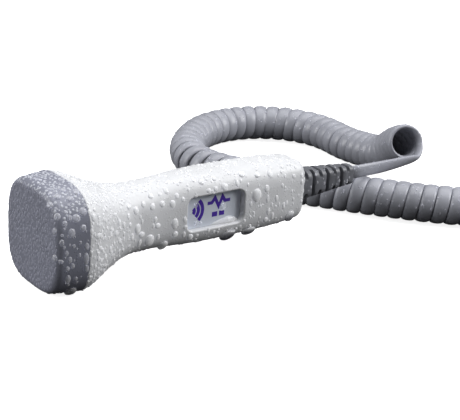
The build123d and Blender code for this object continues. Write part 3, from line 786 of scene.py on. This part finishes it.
def drops(name, places, normals, radii, stretch, height, sag, material, rings, sides):
    """Beads of water: a dome of a few rings over each place, stretched and sagging downhill.

    Each ring is a circle scaled by its share, raised by its share of the height, lengthened
    along the way down the surface and shifted that way by the sag times its height.
    """
    down = np.array([0.0, 0.0, -1.0]) + normals[:, 2:] * normals
    down[np.linalg.norm(down, axis=1) < FLAT_GROUND] = [1.0, 0.0, 0.0]
    down = unit(down - (down * normals).sum(1, keepdims=True) * normals)
    side = np.cross(normals, down)
    angle = 2 * np.pi * np.arange(sides) / sides
    radius, length, fall, rise = (
        values[:, None, None] for values in (radii, stretch, sag, height)
    )
    wide, high = (share.reshape(1, -1, 1) for share in np.array(rings).T)
    across = radius * wide * np.cos(angle)
    lengthwise = radius * length * wide * np.sin(angle) + fall * radius * high
    outwards = np.broadcast_to(radius * rise * high, across.shape)
    body = sum((
        amount[..., None] * way[:, None, None, :]
        for amount, way in ((across, side), (lengthwise, down), (outwards, normals))
    ), places[:, None, None, :])
    top = places + (radii * height)[:, None] * normals + (radii * sag)[:, None] * down
    count = len(rings) * sides
    points = np.concatenate([body.reshape(len(places), count, 3), top[:, None, :]], axis=1)
    here = np.arange(sides)
    after = (here + 1) % sides
    quads = np.array(tube_faces(len(rings), sides)[:-2])
    last = (len(rings) - 1) * sides
    fans = np.column_stack([last + after, last + here, np.full(sides, count)])
    offset = (np.arange(len(places)) * (count + 1))[:, None, None]
    faces = (
        (quads[None] + offset).reshape(-1, 4).tolist()
        + (fans[None] + offset).reshape(-1, 3).tolist()
        + (here[None, None] + offset).reshape(-1, sides).tolist()
    )
    mesh_piece(name, points.reshape(-1, 3), faces, material)


def cap_chance(places, normals):
    """Round the cap's side, none on its face or back."""
    return (normals[:, 0] < 0.5) & (places[:, 0] > FACE_EDGE)


def face_chance(places, normals):
    """On the flat face only."""
    return normals[:, 0] < -0.9


def shell_chance(places, normals):
    """Dense on the flare and on top, fewer on the sides, fewest round the neck.

    None lie in the label's recess, and few on what looks along the probe.
    """
    side = (np.abs(normals[:, 1]) > 0.6) & (places[:, 0] > FLARE_END)
    neck = side & (places[:, 0] < NECK_END)
    recess = (
        (np.abs(places[:, 0] - RECESS_MIDDLE) < RECESS_HALF_LENGTH)
        & (np.abs(places[:, 2] - AXIS_HEIGHT * MM) < RECESS_HALF_HEIGHT) & (places[:, 1] < 0)
    )
    chance = np.where(side, 0.75, 1.0)
    chance = np.where(neck, 0.13, chance)
    chance = np.where(recess, 0.0, chance)
    return np.where(np.abs(normals[:, 0]) > 0.9, 0.25, chance)


def top_chance(places, normals):
    """On the cap's top side."""
    return (normals[:, 2] > 0.35) & (normals[:, 0] < 0.5)


def flare_chance(places, normals):
    """On the flare behind the cap, fewer towards the neck and none beyond."""
    return np.clip((FINE_END - places[:, 0]) / FINE_FADE, 0.0, 1.0)


def upward_chance(places, normals):
    """On what looks up or to the side."""
    return normals[:, 2] > -0.1


def everywhere(places, normals):
    """Anywhere on the outside."""
    return np.ones(len(places))


# Large drops: piece, node, table and finish
PLACED = (
    ("drops_cap_large", "front_cap", CAP_DROPS, "Clear drops"),
    ("drops_housing_large", "housing", HOUSING_DROPS, "Drops on white"),
    ("drops_hanging", "housing", HANGING_DROPS, "Hanging drops"),
    ("drops_label", "label_inlay", FILM_DROPS, "Clear drops"),
)
# Scattered drops in the order drawn: piece, what it lies on, setting of the number, where they
# may lie, smallest and largest radius in metres and the power that makes large ones rare,
# finish, height over radius, large drops to keep off, extra length where it is steep
SCATTERED = (
    ("drops_face", "front_cap", "face_drops", face_chance, (0.0003, 0.00052, 1.4),
     "Drops on the face", 0.3, None, 0.5),
    ("drops_cap", "front_cap", "cap_drops", cap_chance, (0.0003, 0.0009, 2.2),
     "Clear drops", 0.36, "drops_cap_large", 0.0),
    ("drops_housing", "housing", "shell_drops", shell_chance, (0.00028, 0.00095, 2.1),
     "Drops on white", 0.36, "drops_housing_large", 0.0),
    ("drops_cap_top", "front_cap", "top_drops", top_chance, (0.0003, 0.0006, 1.5),
     "Drops on top", 0.3, "drops_cap_large", 0.0),
    ("drops_flare", "housing", "flare_drops", flare_chance, (0.0003, 0.00065, 1.4),
     "Drops on white", 0.34, "drops_housing_large", 0.3),
    ("drops_relief", "strain_relief", "relief_drops", everywhere, (0.00025, 0.0006, 1.8),
     "Drops on grey", 0.42, None, 0.0),
    ("drops_cord", "cord", "cord_drops", upward_chance, (0.00025, 0.00055, 1.8),
     "Drops on grey", 0.42, None, 0.0),
)


def laid(name, node, table, material):
    """Large drops where rays towards the probe's axis meet a node.

    Returns the places and the reach of the drops.
    """
    tree = surface_of(frame["nodes"][node])[1]
    rows = np.array(table)
    count = len(rows)
    angle = np.radians(rows[:, 1])
    out = np.column_stack([np.zeros(count), -np.cos(angle), np.sin(angle)])
    middle = np.column_stack([rows[:, 0], np.zeros(count), np.full(count, AXIS_HEIGHT)]) * MM
    hits = [
        tree.ray_cast(Vector(m + LOOK_BACK * o), Vector(-o)) for m, o in zip(middle, out)
    ]
    places, normals = (np.array([hit[k] for hit in hits]) for k in (0, 1))
    normals *= np.sign((normals * out).sum(1, keepdims=True))
    radii = rows[:, 2] * MM
    drops(
        name, places, normals, radii, rows[:, 3], np.full(count, LARGE_HEIGHT),
        np.full(count, LARGE_SAG), material, LARGE_RINGS, LARGE_SIDES,
    )
    return places, radii * np.maximum(rows[:, 3], 1.0)


def wet_part(rng, name, piece, count, chance, sizes, material, lying, beside, stretched):
    """Scatter drops over one piece: stretched downhill where it is steep.

    beside holds the places and the reach of the drops already laid there.
    """
    corners, tree = surface_of(piece)
    places, normals = scatter(rng, corners, tree, count, chance)
    small, large, power = sizes
    radii = small + (large - small) * rng.random(len(places)) ** power
    keep = apart(places, radii, *beside)
    places, normals, radii = places[keep], normals[keep], radii[keep]
    steep = 1 - np.abs(normals[:, 2])
    stretch = 1 + steep * (stretched + rng.uniform(0.1, 0.75, len(places)))
    sag = steep * rng.uniform(0.05, 0.3, len(places))
    height = lying + rng.uniform(-0.06, 0.1, len(places))
    drops(
        name, places, normals, radii, stretch, height, sag, material, SMALL_RINGS, SMALL_SIDES
    )


def pool(material):
    """Water that has gathered along the foot of the label's recess, deepest in its middle.

    Its section is a quarter of an ellipse in the corner of the floor and the lower wall, as
    wide and high as a half sine wave along the recess raised to a small power, with a ripple.
    """
    low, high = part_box("label_inlay")
    start, end = low[0] + POOL_START * (high[0] - low[0]), high[0] - POOL_GAP
    share = np.linspace(0.02, 0.98, POOL_STEPS)
    size = np.sin(np.pi * share ** 1.3) ** 0.6
    reach, rise = POOL_REACH * size, POOL_RISE * size
    angle = np.linspace(0, np.pi / 2, POOL_ARC)
    across = low[1] + 0.0002 - np.outer(reach, np.cos(angle))
    ripple = (0.9 + 0.1 * np.cos(9 * share))[:, None]
    up = low[2] - 0.0001 + np.outer(rise, np.sin(angle)) * ripple
    section_y = np.column_stack([across, np.full(POOL_STEPS, low[1] + 0.0003)])
    section_z = np.column_stack([up, np.full(POOL_STEPS, low[2] - 0.0002)])
    along_x = np.repeat((start + share * (end - start))[:, None], POOL_ARC + 1, axis=1)
    points = np.stack([along_x, section_y, section_z], axis=-1).reshape(-1, 3)
    mesh_piece("pooled_water", points, tube_faces(POOL_STEPS, POOL_ARC + 1), material)


def ribbon(line, width, low, high):
    """A flat printed line of this width in the label's plane, as a thin solid.

    Its edges lie half a width to each side, farther at a corner by one over the cosine of half
    the turn.
    """
    runs = unit(np.diff(line, axis=0))
    before, after = np.vstack([runs[:1], runs]), np.vstack([runs, runs[-1:]])
    ahead = unit(before + after)
    corner = np.maximum((ahead * after).sum(1, keepdims=True), 0.45)
    side = np.column_stack([-ahead[:, 1], ahead[:, 0]]) * width / 2 / corner
    rows = []
    for offset, depth in ((side, low), (-side, low), (-side, high), (side, high)):
        edge = line + offset
        rows.append(np.column_stack([edge[:, 0], np.full(len(line), depth), edge[:, 1]]))
    return np.stack(rows, axis=1).reshape(-1, 3), tube_faces(len(line), 4)


def label_lines():
    """The signs on the label and their widths: arcs of sound, a pulse line and two bars."""
    turn = np.radians(np.linspace(-WAVE_HALF_TURN, WAVE_HALF_TURN, 15))
    arc = np.column_stack([np.cos(turn), np.sin(turn)])
    waves = [(WAVE_MIDDLE + radius * arc, WAVE_WIDTH) for radius in WAVE_RADII]
    return [*waves, (PULSE, PULSE_WIDTH), *[(bar, BAR_WIDTH) for bar in BARS]]


class PROBE_OT_cord(bpy.types.Operator):
    """Make the flat lead, the coil and the tail as one cord"""

    bl_idname = "probe.cord"
    bl_label = "Curly cord"

    def execute(self, context):
        settings = context.scene.probe.cord
        colour = settings.colour
        jacket = plastic("Cord jacket", colour, shade(colour, 0.86), 0.34, grain=1900.0,
                         grain_depth=0.00003)
        make_cord(settings, jacket)
        dress(jacket, "inner_cord")
        return {"FINISHED"}


class PROBE_OT_shell(bpy.types.Operator):
    """Finish the cap, the housing and the strain relief"""

    bl_idname = "probe.shell"
    bl_label = "Cap, housing and strain relief"

    def execute(self, context):
        settings = context.scene.probe.finish
        cap, white, rubber = settings.cap, settings.housing, settings.relief
        dress(plastic(
            "Cap plastic", cap, shade(cap, 0.93), 0.37, beads=(1150.0, 0.55, 0.00013),
        ), "front_cap")
        dress(plastic(
            "Housing plastic", white, shade(white, 0.97), 0.42, beads=(1150.0, 0.6, 0.00018),
        ), "housing")
        rounded("strain_relief", "relief_sleeve", 0.0003, plastic(
            "Relief rubber", rubber, shade(rubber, 0.8), 0.4, grain=1500.0,
        ))
        seal = plastic("Seal rubber", (0.02, 0.02, 0.022), (0.015, 0.015, 0.017), 0.6)
        dress(seal, "cap_seal", "gland_seal")
        return {"FINISHED"}


class PROBE_OT_label(bpy.types.Operator):
    """Finish the label film and print its signs"""

    bl_idname = "probe.label"
    bl_label = "Label and print"

    def execute(self, context):
        settings = context.scene.probe.finish
        film, ink = settings.film, settings.print_ink
        dress(plastic(
            "Label film", film, shade(film, 0.94), 0.33, grain_depth=0.00001,
            beads=(900.0, 0.12, 0.0002),
        ), "label_inlay")
        low, high = np.array(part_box("label_inlay")) / MM
        middle = (low + high)[[0, 2]] / 2
        points, faces, count = [], [], 0
        for line, width in label_lines():
            some, sides = ribbon(middle + line, width, low[1] + INK_UNDER, low[1] - INK_OVER)
            points.append(some)
            faces += [[k + count for k in side] for side in sides]
            count += len(some)
        inked = plastic("Print", ink, shade(ink, 0.85), 0.35, grain_depth=0.00001)
        mesh_piece(
            "label_print", np.concatenate(points) * MM, faces, inked, smooth=False,
        )
        return {"FINISHED"}


class PROBE_OT_inside(bpy.types.Operator):
    """Finish what is inside the housing and what holds the cord"""

    bl_idname = "probe.inside"
    bl_label = "Inside"

    def execute(self, context):
        for name, (colour, roughness, metallic, nodes) in INSIDE_LOOKS.items():
            finish = plastic(name, colour, shade(colour, 0.85), roughness, metallic=metallic)
            dress(finish, *nodes)
        return {"FINISHED"}


class PROBE_OT_plug(bpy.types.Operator):
    """Finish the plug on the cord's far end"""

    bl_idname = "probe.plug"
    bl_label = "Plug"

    def execute(self, context):
        dark = plastic("Plug plastic", (0.03, 0.03, 0.033), (0.022, 0.022, 0.025), 0.45)
        dress(dark, "plug_boot", "plug_grip")
        dress(plastic(
            "Insert plastic", (0.012, 0.012, 0.014), (0.008, 0.008, 0.01), 0.5
        ), "plug_insert")
        dress(plastic(
            "Plated shell", (0.62, 0.62, 0.64), (0.52, 0.52, 0.54), 0.25, grain=900.0,
            metallic=1.0,
        ), "plug_shell")
        return {"FINISHED"}


class PROBE_OT_water(bpy.types.Operator):
    """Lay drops of water on the cap, the housing, the label, the strain relief and the cord"""

    bl_idname = "probe.water"
    bl_label = "Water drops"

    def execute(self, context):
        settings = context.scene.probe.water
        rng = np.random.default_rng(settings.seed)
        finishes = {name: water(name, *look) for name, look in WATER_LOOKS.items()}
        placed = {None: NO_DROPS}
        for name, node, table, finish in PLACED:
            placed[name] = laid(name, node, table, finishes[finish])
        nodes = {**frame["nodes"], "cord": bpy.data.objects["cord"]}
        for name, under, counted, chance, sizes, finish, lying, beside, stretched in SCATTERED:
            wet_part(rng, name, nodes[under], getattr(settings, counted), chance, sizes,
                     finishes[finish], lying, placed[beside], stretched)
        pool(finishes["Drops on white"])
        return {"FINISHED"}


class PROBE_OT_stage(bpy.types.Operator):
    """Set the floor, the light and the camera"""

    bl_idname = "probe.stage"
    bl_label = "Stage"

    def execute(self, context):
        settings = context.scene.probe.stage
        corners = np.array([(-1, -1, 0), (1, -1, 0), (1, 1, 0), (-1, 1, 0)]) * FLOOR_REACH
        mesh = bpy.data.meshes.new("floor")
        mesh.from_pydata(corners.tolist(), [], [(0, 1, 2, 3)])
        floor = put("floor", mesh)
        material, tree, shader = start_material("Studio floor")
        place = place_of(tree)
        noise = add(tree, "TexNoise", Vector=place, Scale=5.0, Detail=2.0)
        colour = settings.floor_colour
        tone = mixed(tree, noise.outputs[0], 0.3, 0.7, shade(colour, 0.985), colour)
        fill(tree, shader, Base_Color=tone, Roughness=0.8)
        seen = add(tree, "LightPath").outputs["Is Camera Ray"]
        dim = add(tree, "BsdfDiffuse", Color=(*[settings.bounce] * 3, 1))
        lift = add(tree, "Emission", Color=(1, 1, 1, 1), Strength=settings.lift)
        bright = add(tree, "AddShader", _0=shader.outputs[0], _1=lift.outputs[0])
        both = add(tree, "MixShader", _0=seen, _1=dim.outputs[0], _2=bright.outputs[0])
        fill(tree, tree.nodes["Material Output"], Surface=both.outputs[0])
        mesh.materials.append(material)

        world = bpy.data.worlds.new("Studio")
        context.scene.world = world
        world.use_nodes = True
        background = world.node_tree.nodes["Background"]
        fill(world.node_tree, background, Color=(1, 1, 1, 1), Strength=settings.surround)

        for name, spot, target, size, power in LIGHTS:
            lamp = bpy.data.lights.new(name, "AREA")
            lamp.shape = "SQUARE"
            lamp.size = size
            lamp.energy = getattr(settings, power)
            aim = (Vector(target) - Vector(spot)).to_track_quat("-Z", "Y").to_matrix()
            put(name, lamp).matrix_world = Matrix.Translation(spot) @ aim.to_4x4()

        lens = bpy.data.cameras.new("photo_camera")
        lens.sensor_fit = "HORIZONTAL"
        lens.sensor_width = CAMERA_SENSOR
        lens.lens = CAMERA_LENS
        lens.clip_start = 0.01
        camera = put("photo_camera", lens)
        camera.matrix_world = Matrix(CAMERA_PLACE)
        context.scene.camera = camera
        context.scene.view_settings.view_transform = "Standard"
        return {"FINISHED"}


class PROBE_PT_looks(bpy.types.Panel):
    """Lists the pieces and their settings"""

    bl_label = "Probe"
    bl_idname = "PROBE_PT_looks"
    bl_space_type = "VIEW_3D"
    bl_region_type = "UI"
    bl_category = "Probe"

    def draw(self, context):
        for operator in OPERATORS:
            self.layout.operator(operator.bl_idname)
        settings = context.scene.probe
        for part in ("cord", "finish", "water", "stage"):
            box = self.layout.box()
            group = getattr(settings, part)
            for name in type(group).__annotations__:
                box.prop(group, name)


OPERATORS = (
    PROBE_OT_cord, PROBE_OT_shell, PROBE_OT_label, PROBE_OT_inside, PROBE_OT_plug,
    PROBE_OT_water, PROBE_OT_stage,
)
CLASSES = (
    CordSettings, FinishSettings, WaterSettings, StageSettings, ProbeSettings, *OPERATORS,
    PROBE_PT_looks,
)


def register():
    """Make the classes and the settings known to Blender."""
    for part in CLASSES:
        bpy.utils.register_class(part)
    bpy.types.Scene.probe = PointerProperty(type=ProbeSettings)


def unregister():
    """Take the settings and the classes out again."""
    del bpy.types.Scene.probe
    for part in reversed(CLASSES):
        bpy.utils.unregister_class(part)


def main():
    """Make every piece in order."""
    register()
    bpy.ops.probe.stage()
    bpy.ops.probe.cord()
    bpy.ops.probe.shell()
    bpy.ops.probe.label()
    bpy.ops.probe.inside()
    bpy.ops.probe.plug()
    bpy.ops.probe.water()


if __name__ == "__main__":
    main()
